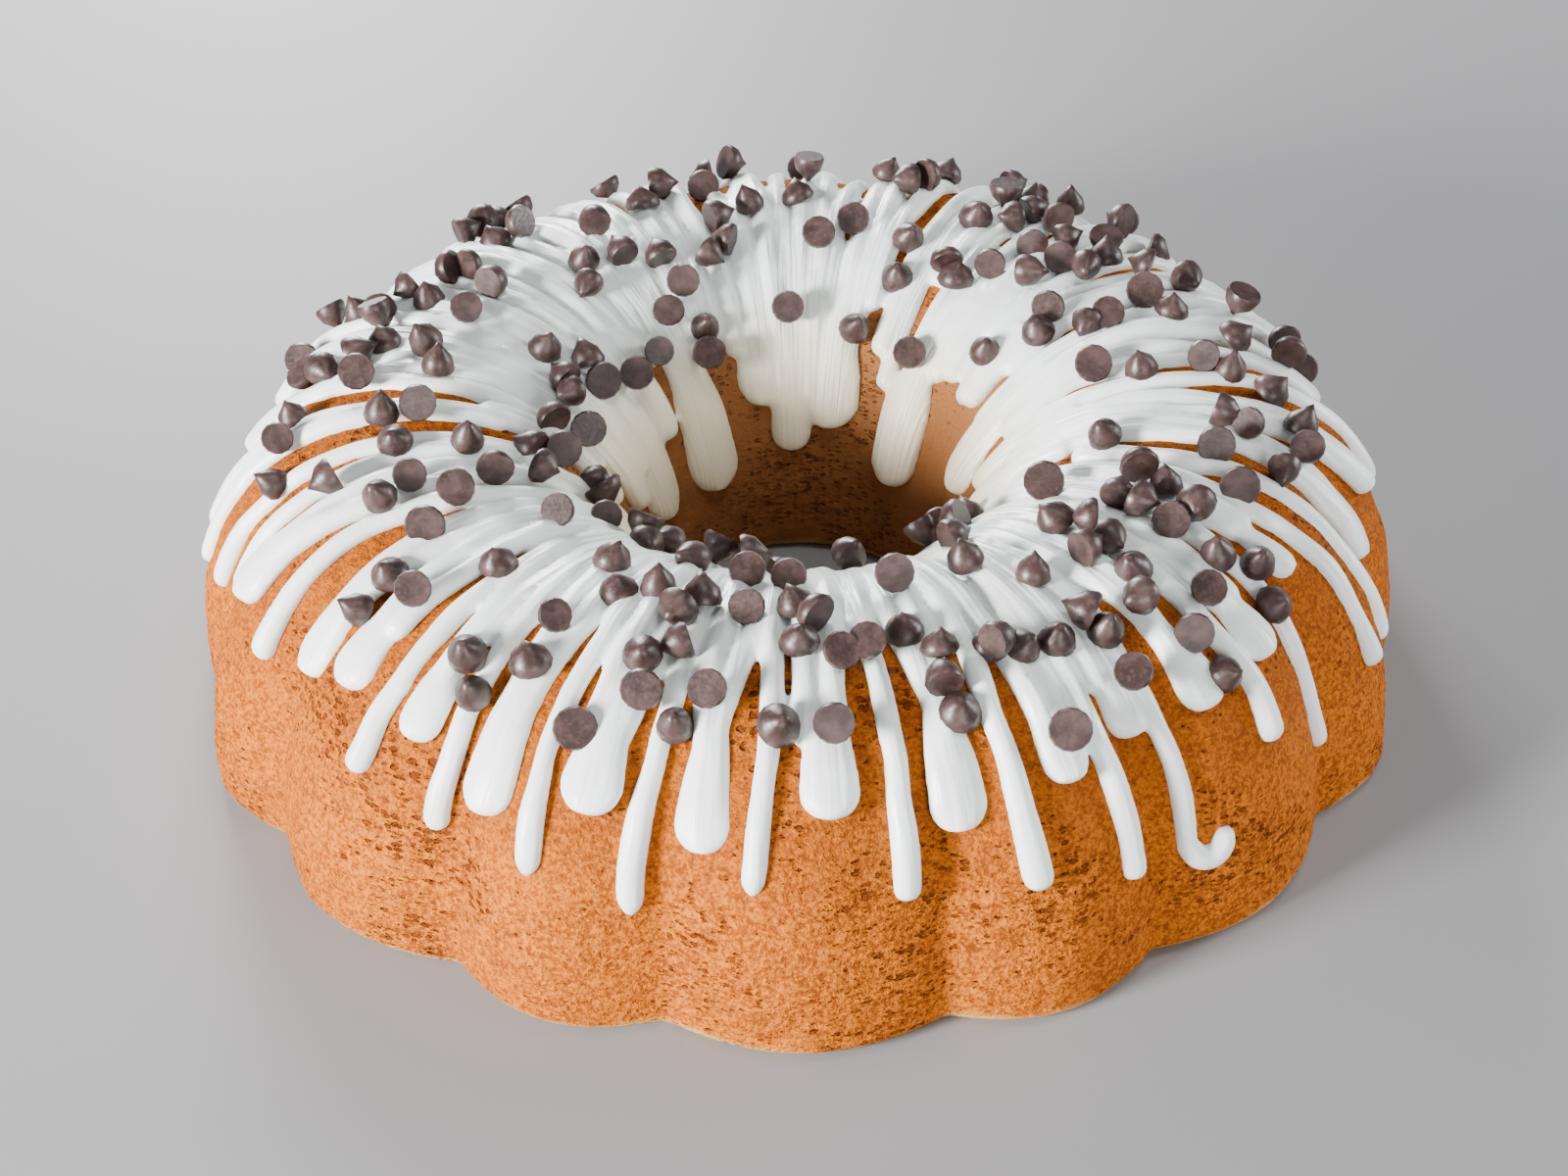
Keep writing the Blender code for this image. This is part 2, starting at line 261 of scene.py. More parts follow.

# Where the colours change: by radius in the hole, a darker crust that is partly painted shade, and icing
# warmed by a painted bounce light; by height up the crust, painted shade under the icing; and along its
# pale foot.
HOLE_TINT_AND_SHADE_RADII = (0.045, 0.060)
ICING_PAINTED_BOUNCE_RADII = (0.036, 0.052)
UPPER_PAINTED_SHADE = (0.026, 0.044)
BASE_LINE = (-0.0024, 0.0002)
BASE_RAGGEDNESS = 0.006

# A pore of the crust, in sizes of its cell: how fine and how strong its ragged edge is, how large it gets.
PORE_RAGGEDNESS = 2.2
PORE_SHIFT = 0.55
PORE_GROWTH = 1.4
PORE_EDGE = (-0.10, 0.12)

# The camera.
CAMERA_ELEVATION = math.radians(37.8)
CAMERA_DISTANCE = 0.600
CAMERA_ROLL = math.radians(-1.08)
CAMERA_LENS = 64.5
CAMERA_SENSOR = 36
CAMERA_SHIFT = (-0.0091, 0.0273)
CAMERA_NEAR = 0.01

# The lights: place, size, power and colour. They all look at the middle of the cake.
WHITE = (1, 1, 1)
LIGHTS = {
    "front_window": ((-1.02, -0.72, 0.36), 0.40, 76, (1.0, 0.99, 0.97)),
    "front_fill": ((0.40, -1.10, 0.28), 0.6, 10, WHITE),
    "back_window": ((-0.30, 1.10, 0.42), 0.5, 26, WHITE),
    "overhead": ((0.20, -0.1, 1.1), 0.5, 4, WHITE),
    "reflector": ((1.05, 0.25, 0.30), 0.5, 11, WHITE),
}
LIT_POINT = (0, 0, 0.03)
ROOM_COLOUR = (0.93, 0.96, 1.0, 1)
ROOM_LIGHT = 0.20
FLOOR_SIZE = 3.0
FLOOR_ROUGHNESS = 0.6


def smooth_step(low, high, value):
    share = min(max((value - low) / (high - low), 0.0), 1.0)
    return share * share * (3 - 2 * share)


def mesh_of(shape, name):
    """The mesh of a bmesh that is finished with."""
    mesh = bpy.data.meshes.new(name)
    shape.to_mesh(mesh)
    shape.free()
    return mesh


def linked(name, data):
    """A new object in the scene."""
    obj = bpy.data.objects.new(name, data)
    bpy.context.scene.collection.objects.link(obj)
    return obj


def add_piece(name, mesh, material):
    """A finished piece of the cake, which stands for the CAD solid."""
    piece = linked(name, mesh)
    mesh.materials.clear()
    mesh.materials.append(material)
    mesh.shade_smooth()
    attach(piece, BODY)
    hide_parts(CAKE)


def spun(outline, steps, closed):
    """A bmesh of an outline of (radius, height) points, spun once round the axis."""
    shape = bmesh.new()
    points = [shape.verts.new((across, 0, up)) for across, up in outline]
    pairs = [(points[index - 1], points[index]) for index in range(0 if closed else 1, len(points))]
    edges = [shape.edges.new(pair) for pair in pairs]
    bmesh.ops.spin(
        shape, geom=[*points, *edges], cent=(0, 0, 0), axis=UP, dvec=(0, 0, 0), angle=2 * math.pi,
        steps=steps, use_merge=True,
    )
    bmesh.ops.remove_doubles(shape, verts=shape.verts, dist=MERGE)
    bmesh.ops.recalc_face_normals(shape, faces=shape.faces)
    return shape


# The form of the sponge.

def flute_fullness(bearing):
    """0 in the groove between two flutes, 1 in the middle of a flute."""
    across = (bearing + WIDE_FLUTE / 2) % FLUTE_PAIR
    if across < WIDE_FLUTE:
        return math.sin(math.pi * across / WIDE_FLUTE)
    return math.sin(math.pi * (across - WIDE_FLUTE) / (FLUTE_PAIR - WIDE_FLUTE))


def flute_recess(bearing, turn):
    """How far the surface lies inside the plain ring."""
    fade = min(max(math.cos(turn) + FLUTE_REACH, 0.0), 1.0) ** FLUTE_FADE
    return FLUTE_DEPTH * fade * (1 - flute_fullness(bearing))


def section(turn, rise=0.0):
    """(radius, height) of the plain ring. turn is 0 at the outer foot, and pi at the foot in the hole."""
    outward = math.cos(turn)
    upward = math.sin(turn)
    half_width = (OUTER_RADIUS - CROWN_RADIUS if outward >= 0 else CROWN_RADIUS - HOLE_RADIUS) + rise
    power = OUTER_SQUARENESS if outward >= 0 else INNER_SQUARENESS
    height = SPONGE_HEIGHT + rise
    reach = (abs(outward / half_width) ** power + abs(upward / height) ** power) ** (-1 / power)
    return CROWN_RADIUS + reach * outward, reach * upward


def section_speed(turn):
    """How far the section's outline goes for each radian that it turns."""
    step = 0.001
    return (Vector(section(turn + step)) - Vector(section(turn))).length / step


def bearing_and_turn(place):
    """Where a place lies: its bearing round the hole, and its turn about the middle of the section."""
    across = math.hypot(place.x, place.y)
    return math.atan2(place.y, place.x), math.atan2(place.z, across - CROWN_RADIUS)


def outward_at(bearing):
    return Vector((math.cos(bearing), math.sin(bearing), 0))


def surface(bearing, turn):
    """The place on the fluted surface at a bearing and a turn."""
    radius, height = section(turn)
    radius -= flute_recess(bearing, turn)
    return Vector((radius * math.cos(bearing), radius * math.sin(bearing), height))


def surface_normal(bearing, turn):
    nudge = 0.02
    along = surface(bearing, turn + nudge) - surface(bearing, turn - nudge)
    around = Vector((-math.sin(bearing), math.cos(bearing), 0))
    return around.cross(along).normalized()


def turn_at(low, high, is_before):
    """Halves the stretch of turns from low to high down to where is_before stops being true."""
    halvings = 24
    for _ in range(halvings):
        middle = (low + high) / 2
        if is_before(*section(middle)):
            low = middle
        else:
            high = middle
    return low


def turn_at_radius(radius, outer):
    low, high = (0, math.pi / 2) if outer else (math.pi / 2, math.pi)
    return turn_at(low, high, lambda across, up: across > radius)


def turn_at_height(height, outer):
    low = 0 if outer else math.pi
    return turn_at(low, math.pi / 2, lambda across, up: up < height)


def section_outline():
    """The closed outline of the sponge's section, its points evenly spaced."""
    edge = turn_at_height(BASE_EDGE, outer=True)
    low = BASE_EDGE / 3
    outer_foot = OUTER_RADIUS - BASE_EDGE
    inner_foot = HOLE_RADIUS + BASE_EDGE
    points = [(outer_foot, 0.0), (OUTER_RADIUS - low, low)]
    turn = edge
    while turn < math.pi - edge:
        points.append(section(turn))
        turn += SPONGE_STATION / section_speed(turn)
    points.append((HOLE_RADIUS + low, low))
    width = outer_foot - inner_foot
    points += [(inner_foot + width * station / BASE_STATIONS, 0.0) for station in range(BASE_STATIONS)]
    return points


def sponge_relief(point):
    """The crust's unevenness: slow swells, lumps, and a fine crumb that lies flat."""
    flat = Vector((point.x, point.y, point.z * CRUMB_FLATNESS))
    relief = 0.0
    for place, (waves, height) in ((point, SWELL), (point, LUMPS), (flat, CRUMB)):
        relief += noise.noise(place * waves) * height
    return relief


def make_sponge():
    shape = spun(section_outline(), SPONGE_STEPS, closed=True)
    for vertex in shape.verts:
        bearing, turn = bearing_and_turn(vertex.co)
        rough = sponge_relief(vertex.co)
        vertex.co -= outward_at(bearing) * flute_recess(bearing, turn)
        if vertex.co.z > BASE_EDGE / 2:
            vertex.co += surface_normal(bearing, turn) * rough
    return mesh_of(shape, "sponge")


# The icing.

@dataclass
class Station:
    """A place along a strand, with the half width there and the height of the strand's back."""

    place: Vector
    normal: Vector
    width: float
    rise: float


class Strand:
    """A line of icing, as stations along it."""

    def __init__(self, draw):
        self.stations = []
        self.seed = draw.uniform(0, 100)
        self.proud = ICING_RISE * draw.uniform(*RISE_RANGE)

    def waver(self, length, waves, track):
        """The strand's own slow unevenness, from -1 to 1, at a length along it."""
        return noise.noise(Vector((self.seed, length * waves, track)))

    def lay(self, bearing, turns, offset, half_width, wander, proud=None):
        """Lays the strand over the sponge. offset, half_width and proud go by the share of its length."""
        length = 0.0
        last = None
        for index, turn in enumerate(turns):
            share = index / (len(turns) - 1)
            across = section(turn)[0]
            fan = min(across / CROWN_RADIUS, 1.0)
            drift = self.waver(length, SLOW_WANDER, 0) * wander
            drift += self.waver(length, QUICK_WANDER, 3) * wander * QUICK_SHARE
            here = bearing + (offset(share) * fan + drift) / across
            place = surface(here, turn)
            if last is not None:
                length += (place - last).length
            last = place
            width = half_width(share) * (1 - HOLE_NARROWING + HOLE_NARROWING * fan)
            width *= 1 + UNEVENNESS * self.waver(length, WIDTH_WAVES, 5)
            rise = self.proud * (proud(share) if proud else 1.0)
            rise *= 1 + UNEVENNESS * self.waver(length, RISE_WAVES, 9)
            self.stations.append(Station(place, surface_normal(here, turn), width, rise))

    def close_ends(self, form):
        """Rounds both ends off, or draws the tip to a point."""
        tip_form = POINTED_END if form == "point" else ROUND_END
        start = (self.stations[0].place, self.stations[END_STATION].width, ROUND_END)
        tip = (self.stations[-1].place, self.stations[-1 - END_STATION].width, tip_form)
        for end, width, (reach, power) in (start, tip):
            for station in self.stations:
                left = (station.place - end).length / (width * reach)
                if left < 1:
                    narrowing = max(1 - (1 - left) ** power, 0.0) ** (1 / power)
                    station.width *= narrowing * (1 - END_WIDTH) + END_WIDTH

    def ring_at(self, index):
        """The matrix that sets a unit circle round the strand at a station."""
        station = self.stations[index]
        ahead = self.stations[min(index + 1, len(self.stations) - 1)].place
        behind = self.stations[max(index - 1, 0)].place
        along = (ahead - behind).normalized()
        side = along.cross(station.normal).normalized()
        lift = side.cross(along).normalized()
        height = min(station.width, STRAND) * STRAND_SQUASH
        back = (station.rise - STRAND * STRAND_SQUASH) * min(station.width / STRAND, 1)
        axes = Matrix((side * station.width, lift * height, along * STRAND)).transposed().to_4x4()
        return Matrix.Translation(station.place + station.normal * back) @ axes

    def mesh(self):
        """The strand's tube: a disc extruded on from station to station."""
        shape = bmesh.new()
        bmesh.ops.create_circle(shape, cap_ends=True, segments=STRAND_SIDES, radius=1.0)
        cap = list(shape.faces)
        before = Matrix.Identity(4)
        for index in range(len(self.stations)):
            if index:
                grown = bmesh.ops.extrude_face_region(shape, geom=cap)["geom"]
                cap = [item for item in grown if isinstance(item, bmesh.types.BMFace)]
            here = self.ring_at(index)
            corners = list({corner for face in cap for corner in face.verts})
            bmesh.ops.transform(shape, matrix=here @ before.inverted(), verts=corners)
            before = here
        bmesh.ops.recalc_face_normals(shape, faces=shape.faces)
        return mesh_of(shape, "strand")


def turns_between(start, end):
    """Turns a station apart along the section, and closer together towards the tip."""
    turns = [start]
    way = math.copysign(1, end - start)
    while True:
        speed = section_speed(turns[-1])
        left = (end - turns[-1]) * way * speed
        if left < TIP_STEP:
            break
        turns.append(turns[-1] + way * min(STRAND_STEP, max(left * TIP_SLOWING, TIP_STEP)) / speed)
    turns[-1] = end
    return turns


def add_hook(strand, bearing, tip):
    """Carries a strand on in a curl, round and up beside its tip."""
    across = section(turn_at_height(tip, outer=True))[0]
    for part in range(1, HOOK_STATIONS + 1):
        swept = HOOK_SWEEP * part / HOOK_STATIONS
        turn = turn_at_height(tip - HOOK_RADIUS * math.sin(swept), outer=True)
        here = bearing + HOOK_RADIUS * (1 - math.cos(swept)) / across
        strand.stations.append(
            Station(surface(here, turn), surface_normal(here, turn), HOOK_WIDTH, ICING_RISE)
        )


def thin_drip(bearing, tip, width, form, draw):
    """A single strand from the inner rim over the crown and down the side."""
    strand = Strand(draw)
    slant = draw.uniform(-THIN_SLANT, THIN_SLANT)
    start = turn_at_radius(draw.uniform(*THIN_RIM_RADII), outer=False)
    end = turn_at_height(tip, outer=True)

    def half_width(share):
        necked = LEG + (THIN_NECK - LEG) * smooth_step(*THIN_NARROWING, share)
        return necked + (width / 2 * THIN_TIP - THIN_NECK) * smooth_step(*THIN_WIDENING, share)

    strand.lay(
        bearing, turns_between(start, end), lambda share: slant * (1 - share), half_width, LEG_WANDER,
    )
    if form == "hook":
        add_hook(strand, bearing, tip)
    strand.close_ends(form)
    return [strand]


def broad_drip(bearing, tip, width, form, draw):
    """A hairpin: two strands over the crown that run together low down in a broad tongue, or in a drop."""
    slant = draw.uniform(-BROAD_SLANT, BROAD_SLANT)
    neck = DROP_NECK if form == "drop" else width * ROUND_NECK
    strands = []
    for side in (-1, 1):
        strand = Strand(draw)
        start = turn_at_radius(draw.uniform(*BROAD_RIM_RADII), outer=False)
        spread = LEG_SPREAD * draw.uniform(*LEG_SPREAD_RANGE)

        def offset(share, side=side, spread=spread):
            apart = spread + (neck - LEG - spread) * smooth_step(*LEG_MEETING, share)
            return slant * (1 - share) + side * apart

        low = turn_at_height(tip + width * LEG_END, outer=True)
        strand.lay(bearing, turns_between(start, low), offset, lambda share: LEG, LEG_WANDER)
        strand.close_ends("round")
        strands.append(strand)
    tongue = Strand(draw)
    shoulder = turn_at_height(SPONGE_HEIGHT * TONGUE_SHOULDER, outer=True)
    first = neck * TONGUE_START
    last = width / 2 * TONGUE_TIP
    thin, thick = TONGUE_RISE
    tongue.lay(
        bearing, turns_between(shoulder, turn_at_height(tip, outer=True)),
        lambda share: slant * TONGUE_SLANT * (1 - share),
        lambda share: first + (last - first) * smooth_step(*TONGUE_WIDENING, share), TONGUE_WANDER,
        lambda share: thin + (thick - thin) * smooth_step(*TONGUE_RISING, share),
    )
    tongue.close_ends(form)
    return [*strands, tongue]


def outer_drip(bearing, tip, width, form, draw):
    shape_drip = thin_drip if width < BROAD_FROM else broad_drip
    return shape_drip(math.radians(bearing), tip, width, form, draw)


def back_drips(draw):
    """The drips that the front hides, broad and thin by turns, as uneven as those that it shows."""
    low, high = BACK_BEARINGS
    spacing = (high - low) / BACK_DRIPS
    for index in range(BACK_DRIPS):
        bearing = low + spacing * (index + 0.5) + draw.uniform(-BACK_SHIFT, BACK_SHIFT)
        if index % 2:
            form = draw.choice(("round", "round", "drop"))
            yield bearing, draw.uniform(*BACK_BROAD_TIPS), draw.uniform(*BACK_BROAD_WIDTHS), form
        else:
            yield bearing, draw.uniform(*BACK_THIN_TIPS), draw.uniform(*BACK_THIN_WIDTHS), "round"


def hole_drip(bearing, tip, width, draw):
    """A drip down the wall of the hole, drawn out over the crown above it."""
    strand = Strand(draw)
    start = turn_at_radius(HOLE_STRAND_START + draw.uniform(*HOLE_START_RANGE), outer=False)
    last = width / 2 * HOLE_TIP
    strand.lay(
        math.radians(bearing), turns_between(start, turn_at_height(tip, outer=False)), lambda share: 0.0,
        lambda share: LEG + (last - LEG) * smooth_step(*HOLE_WIDENING, share), HOLE_WANDER,
    )
    strand.close_ends("round")
    return strand


def icing_strands(draw):
    strands = []
    for drip in [*DRIPS, *back_drips(draw)]:
        strands += outer_drip(*drip, draw)
    for drip in HOLE_DRIPS:
        strands.append(hole_drip(*drip, draw))
    return strands


def evaluated_mesh(obj):
    graph = bpy.context.evaluated_depsgraph_get()
    return bpy.data.meshes.new_from_object(obj.evaluated_get(graph))


def run_together(strands):
    """An object of all the strands, melted into one skin and softened."""
    shape = bmesh.new()
    for strand in strands:
        mesh = strand.mesh()
        shape.from_mesh(mesh)
        bpy.data.meshes.remove(mesh)
    body = linked("icing_body", mesh_of(shape, "icing"))
    remesh = body.modifiers.new("run_together", "REMESH")
    remesh.mode = "VOXEL"
    remesh.voxel_size = VOXEL
    merged = evaluated_mesh(body)
    shape = bmesh.new()
    shape.from_mesh(merged)
    for _ in range(SMOOTHINGS):
        bmesh.ops.smooth_vert(
            shape, verts=shape.verts, factor=0.5, use_axis_x=True, use_axis_y=True, use_axis_z=True
        )
    shape.to_mesh(merged)
    shape.free()
    body.modifiers.clear()
    body.data = merged
    return body


def icing_bed():
    """A ring a little inside the sponge, down to which the icing is kept."""
    turns = [math.pi * station / (BED_STATIONS - 1) for station in range(BED_STATIONS)]
    shape = spun([section(turn, -ICING_BED) for turn in turns], BED_STEPS, closed=True)
    for vertex in shape.verts:
        bearing, turn = bearing_and_turn(vertex.co)
        vertex.co -= outward_at(bearing) * flute_recess(bearing, turn)
    return linked("icing_bed", mesh_of(shape, "icing_bed"))


def without_specks(mesh):
    """Deletes the loose specks that the cut leaves beside the icing."""
    shape = bmesh.new()
    shape.from_mesh(mesh)
    for face in shape.faces:
        face.tag = False
    specks = []
    for seed in shape.faces:
        if seed.tag:
            continue
        seed.tag = True
        island = [seed]
        for face in island:
            for edge in face.edges:
                for beside in edge.link_faces:
                    if not beside.tag:
                        beside.tag = True
                        island.append(beside)
        if len(island) < SPECK_FACES:
            specks += island
    bmesh.ops.delete(shape, geom=specks, context="FACES")
    shape.to_mesh(mesh)
    shape.free()
    return mesh


def make_icing(strands):
    """Runs the strands together, thins the mesh, and cuts away what lies deep in the sponge."""
    body = run_together(strands)
    bed = icing_bed()
    thinned = body.modifiers.new("thinned", "DECIMATE")
    thinned.ratio = min(ICING_TRIANGLES / (2 * len(body.data.polygons)), 1.0)
    cut = body.modifiers.new("cut_bed", "BOOLEAN")
    cut.operation = "DIFFERENCE"
    cut.solver = "MANIFOLD"
    cut.object = bed
    icing = without_specks(evaluated_mesh(body))
    for obj in (body, bed):
        bpy.data.objects.remove(obj)
    return icing


# The chocolate chips.

def chip_shape(bend, squat):
    """A chip: a drop turned round its own axis, its tip bent over a little."""
    shape = spun(CHIP_OUTLINE, CHIP_SEGMENTS, closed=False)
    top = CHIP_OUTLINE[-1][1]
    for vertex in shape.verts:
        share = vertex.co.z / top
        vertex.co.x += bend * share**3
        vertex.co.z *= squat
        vertex.co.xy /= math.sqrt(squat)
    bmesh.ops.translate(shape, verts=shape.verts, vec=(0, 0, -top * squat * CHIP_MIDDLE))
    return mesh_of(shape, "chip")


def camera_turn():
    """The camera's rotation, and the way back from the cake to it."""
    back = Vector((0, -math.cos(CAMERA_ELEVATION), math.sin(CAMERA_ELEVATION)))
    return (-back).to_track_quat("-Z", "Y").to_matrix() @ Matrix.Rotation(CAMERA_ROLL, 3, "Z"), back


def sight(pixel):
    """The way from the camera through a pixel of the photograph."""
    turn, _ = camera_turn()
    across = ((pixel[0] - PHOTO_WIDTH / 2) / PHOTO_WIDTH + CAMERA_SHIFT[0]) * CAMERA_SENSOR
    up = ((PHOTO_HEIGHT / 2 - pixel[1]) / PHOTO_WIDTH + CAMERA_SHIFT[1]) * CAMERA_SENSOR
    return (turn @ Vector((across, up, -CAMERA_LENS))).normalized()


def seen_chips():
    """(start, direction, attitude) for each chip that the photograph shows."""
    eye = camera_turn()[1] * CAMERA_DISTANCE
    for attitude, pixels in (("foot", CHIPS_FOOT_OUT), ("up", CHIPS_TIP_UP), ("side", CHIPS_ON_SIDE)):
        for pixel in pixels:
            yield eye, sight(pixel), attitude


def hidden_chips(draw):
    """(start, direction, attitude) for the chips that it hides, cast straight at the slope."""
    groups = (
        (BACK_CHIPS, BACK_CHIP_BEARINGS, BACK_CHIP_RADII, True),
        (INNER_CHIPS, INNER_CHIP_BEARINGS, INNER_CHIP_RADII, False),
    )
    for count, bearings, radii, outer in groups:
        for _ in range(count):
            bearing = math.radians(draw.uniform(*bearings))
            turn = turn_at_radius(draw.uniform(*radii), outer=outer)
            normal = surface_normal(bearing, turn)
            yield surface(bearing, turn) + normal * CAST_HEIGHT, -normal, draw.choice(ATTITUDES)


def chip_axis(attitude, slope, away, draw):
    """Which way a chip's tip points: off the surface, along it, or away from the eye."""
    side = slope.orthogonal().normalized()
    side.rotate(Matrix.Rotation(draw.uniform(0, 2 * math.pi), 3, slope))
    lean = draw.uniform(*CHIP_LEANS[attitude])
    if attitude == "up":
        return slope + side * lean
    if attitude == "side":
        return side + slope * lean
    return away + side * lean


def first_hit(trees, start, way):
    hits = [tree.ray_cast(start, way) for tree in trees]
    hits = [hit for hit in hits if hit[0] is not None]
    return min(hits, key=lambda hit: hit[3])[0] if hits else None


def landing(trees, start, way):
    """Where a line of sight meets the cake. One that just misses the near rim dips until it meets it."""
    for _ in range(RIM_TRIES):
        ground = first_hit(trees, start, way)
        if ground is None or math.hypot(ground.x, ground.y) > CHIP_RIM:
            return ground, way
        way = (way - UP * RIM_DIP).normalized()
    return None, way


def chip_lift(trees, start, way, ground, slope, depth):
    """How far a chip stands off the slope, clear of what is beside it. depth is how far it reaches down."""
    lift = depth - CHIP_SINK
    beside = way.orthogonal().normalized() * CHIP_REACH
    sides = 4
    for _ in range(sides):
        beside.rotate(Matrix.Rotation(2 * math.pi / sides, 3, way))
        near = first_hit(trees, start + beside, way)
        if near is not None and (near - ground).length < CHIP_REACH * 2:
            lift = max(lift, (near - ground).dot(slope) + depth - CHIP_SINK * 2)
    return lift


def tree_of(mesh):
    shape = bmesh.new()
    shape.from_mesh(mesh)
    tree = BVHTree.FromBMesh(shape)
    shape.free()
    return tree


def make_chips(icing, sponge, draw):
    """Sets each chip on to what lies under it, and lifts it on to the chips that it would run into."""
    kinds = [chip_shape(*kind) for kind in CHIP_KINDS]
    trees = [tree_of(icing), tree_of(sponge)]
    shape = bmesh.new()
    settled = []
    seen = list(seen_chips())
    for index, (start, way, attitude) in enumerate([*seen, *hidden_chips(draw)]):
        is_seen = index < len(seen)
        ground, way = landing(trees, start, way)
        if ground is None:
            continue
        slope = surface_normal(*bearing_and_turn(ground))
        spin = Matrix.Rotation(draw.uniform(0, 2 * math.pi), 3, "Z")
        axis = chip_axis(attitude, slope, way if is_seen else -slope, draw)
        attitude_turn = axis.normalized().to_track_quat("Z", "Y").to_matrix() @ spin
        size = draw.uniform(*CHIP_SIZES)
        kind = draw.choice(kinds)
        depth = -min((attitude_turn @ vertex.co * size).dot(slope) for vertex in kind.vertices)
        lift = chip_lift(trees, start, way, ground, slope, depth)
        place = ground - way * lift / max(-way.dot(slope), CHIP_GLANCE)
        crowded = [other for other in settled if (place - other).length < CHIP_GAP]
        if crowded and not is_seen:
            continue
        for other in crowded:
            place -= way * (CHIP_GAP - (place - other).length) * CHIP_YIELD
        settled.append(place)
        before = len(shape.verts)
        shape.from_mesh(kind)
        shape.verts.ensure_lookup_table()
        matrix = Matrix.Translation(place) @ (attitude_turn * size).to_4x4()
        bmesh.ops.transform(shape, matrix=matrix, verts=shape.verts[before:])
    return mesh_of(shape, "chocolate_chips")


# The finishes.

class Finish:
    """A node material: small helpers that add and link nodes."""

    def __init__(self, name):
        self.material = bpy.data.materials.new(name)
        self.material.use_nodes = True
        self.tree = self.material.node_tree
        self.shader = self.tree.nodes["Principled BSDF"]
        self.place = self.add("ShaderNodeTexCoord").outputs["Object"]

    def add(self, kind, **settings):
        node = self.tree.nodes.new(kind)
        for key, value in settings.items():
            setattr(node, key, value)
        return node

    def link(self, value, socket):
        if isinstance(value, bpy.types.NodeSocket):
            self.tree.links.new(value, socket)
        else:
            socket.default_value = value

    def noise(self, vector, scale, detail, roughness):
        node = self.add("ShaderNodeTexNoise")
        self.link(vector, node.inputs["Vector"])
        node.inputs["Scale"].default_value = scale
        node.inputs["Detail"].default_value = detail
        node.inputs["Roughness"].default_value = roughness
        return node.outputs["Fac"]

    def pores(self, vector, scale, share):
        """1 in small ragged pits, of which a share of the cells has one, and 0 between them."""
        rough = self.add("ShaderNodeTexNoise")
        self.link(vector, rough.inputs["Vector"])
        rough.inputs["Scale"].default_value = scale * PORE_RAGGEDNESS
        shifted = self.add("ShaderNodeVectorMath", operation="MULTIPLY_ADD")
        self.link(rough.outputs["Color"], shifted.inputs[0])
        shifted.inputs[1].default_value = [PORE_SHIFT / scale] * 3
        self.link(vector, shifted.inputs[2])
        cells = self.add("ShaderNodeTexVoronoi")
        self.link(shifted.outputs["Vector"], cells.inputs["Vector"])
        cells.inputs["Scale"].default_value = scale
        chance = self.add("ShaderNodeSeparateColor")
        self.link(cells.outputs["Color"], chance.inputs["Color"])
        size = self.math("MULTIPLY", self.math("SUBTRACT", share, chance.outputs["Red"]), PORE_GROWTH)
        return self.ramp(self.math("SUBTRACT", cells.outputs["Distance"], size), *PORE_EDGE, 1.0, 0.0)

    def stretched(self, vector, scale):
        node = self.add("ShaderNodeMapping")
        self.link(vector, node.inputs["Vector"])
        node.inputs["Scale"].default_value = scale
        return node.outputs["Vector"]

    def axis_radius(self):
        """How far a place is from the axis of the hole."""
        node = self.add("ShaderNodeVectorMath", operation="LENGTH")
        self.link(self.stretched(self.place, (1, 1, 0)), node.inputs[0])
        return node.outputs["Value"]

    def ramp(self, value, low, high, to_low=0.0, to_high=1.0):
        node = self.add("ShaderNodeMapRange", interpolation_type="SMOOTHSTEP")
        self.link(value, node.inputs["Value"])
        node.inputs["From Min"].default_value = low
        node.inputs["From Max"].default_value = high
        node.inputs["To Min"].default_value = to_low
        node.inputs["To Max"].default_value = to_high
        return node.outputs["Result"]

    def math(self, operation, first, second):
        node = self.add("ShaderNodeMath", operation=operation)
        self.link(first, node.inputs[0])
        self.link(second, node.inputs[1])
        return node.outputs["Value"]

    def mix(self, share, first, second):
        node = self.add("ShaderNodeMix", data_type="RGBA")
        self.link(share, node.inputs["Factor"])
        self.link(first, node.inputs["A"])
        self.link(second, node.inputs["B"])
        return node.outputs["Result"]

    def bump(self, height, distance, strength, normal=None):
        node = self.add("ShaderNodeBump")
        self.link(height, node.inputs["Height"])
        node.inputs["Distance"].default_value = distance
        node.inputs["Strength"].default_value = strength
        if normal is not None:
            self.link(normal, node.inputs["Normal"])
        return node.outputs["Normal"]


